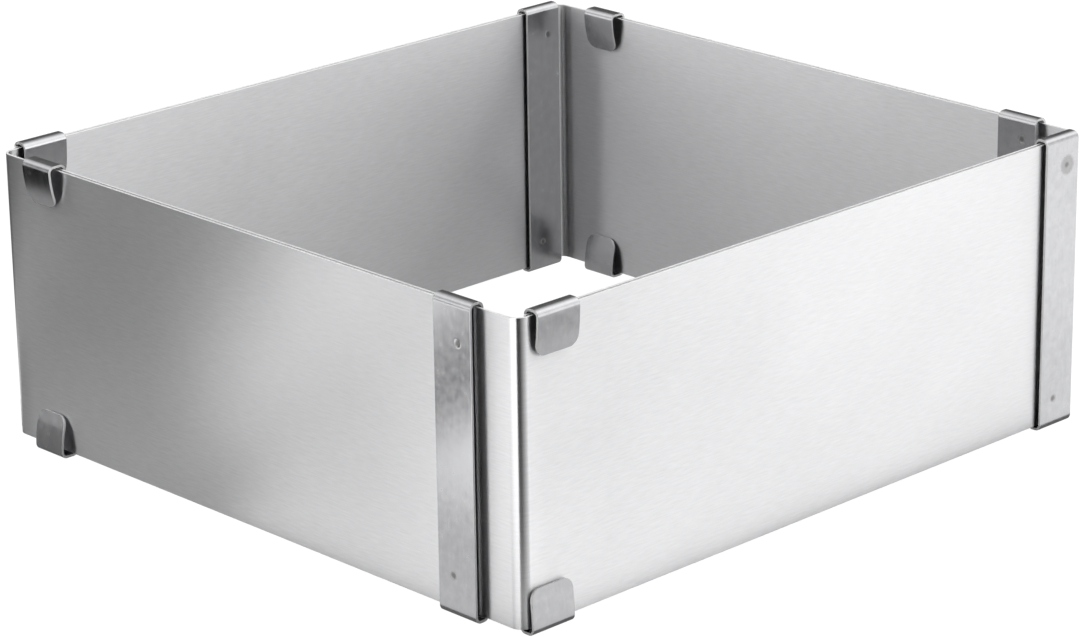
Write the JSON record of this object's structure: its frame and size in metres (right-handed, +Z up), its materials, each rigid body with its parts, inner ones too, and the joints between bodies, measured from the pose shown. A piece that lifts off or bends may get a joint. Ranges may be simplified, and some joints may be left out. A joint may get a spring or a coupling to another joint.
{
  "type": "adjustable baking frame",
  "caption": "Open rectangular baking frame of bent stainless corner sheets that slide along one another, held by spot-welded straps and folded hooks, to set the length and width of a cake.",
  "frame": {"origin": "middle of the footprint, on the plane that the folds of the straps and hooks rest on", "axes": "+Z up, +X along the longer sides (front and rear), +Y from the front side to the rear side"},
  "size_m": [0.216, 0.2032, 0.0828],
  "materials": {
    "sheet": "fine horizontal brush lines",
    "strip": "smooth mill finish, faintly mottled",
    "weld": "dull spot weld with a faint heat tint"
  },
  "bodies": {
    "front_left": {"front_left_sheet": "sheet", "front_strap": "strip", "front_strap_weld_upper": "weld", "front_strap_weld_lower": "weld", "left_hook_upper": "strip", "left_hook_lower": "strip", "left_hook_weld_upper": "weld", "left_hook_weld_lower": "weld"},
    "front_right": {"front_right_sheet": "sheet", "front_hook_upper": "strip", "front_hook_lower": "strip", "front_hook_weld_upper": "weld", "front_hook_weld_lower": "weld", "right_hook_upper": "strip", "right_hook_lower": "strip", "right_hook_weld_upper": "weld", "right_hook_weld_lower": "weld"},
    "rear_left": {"rear_left_sheet": "sheet", "left_strap": "strip", "left_strap_weld_upper": "weld", "left_strap_weld_lower": "weld", "rear_strap": "strip", "rear_strap_weld_upper": "weld", "rear_strap_weld_lower": "weld"},
    "rear_right": {"rear_right_sheet": "sheet", "right_strap": "strip", "right_strap_weld_upper": "weld", "right_strap_weld_lower": "weld", "rear_hook_upper": "strip", "rear_hook_lower": "strip", "rear_hook_weld_upper": "weld", "rear_hook_weld_lower": "weld"}
  },
  "joints": [
    {"name": "width_slide", "type": "slide", "parent": "front_left", "child": "front_right", "axis": [1, 0, 0], "range_m": [-0.0005, 0.1735]},
    {"name": "depth_slide", "type": "slide", "parent": "front_left", "child": "rear_left", "axis": [0, 1, 0], "range_m": [-0.009, 0.1473]},
    {"name": "rear_depth_slide", "type": "slide", "parent": "front_right", "child": "rear_right", "axis": [0, 1, 0], "range_m": [-0.009, 0.1473]}
  ],
  "couplings": [
    {"joint": "rear_depth_slide", "follows": "depth_slide", "ratio": 1}
  ]
}
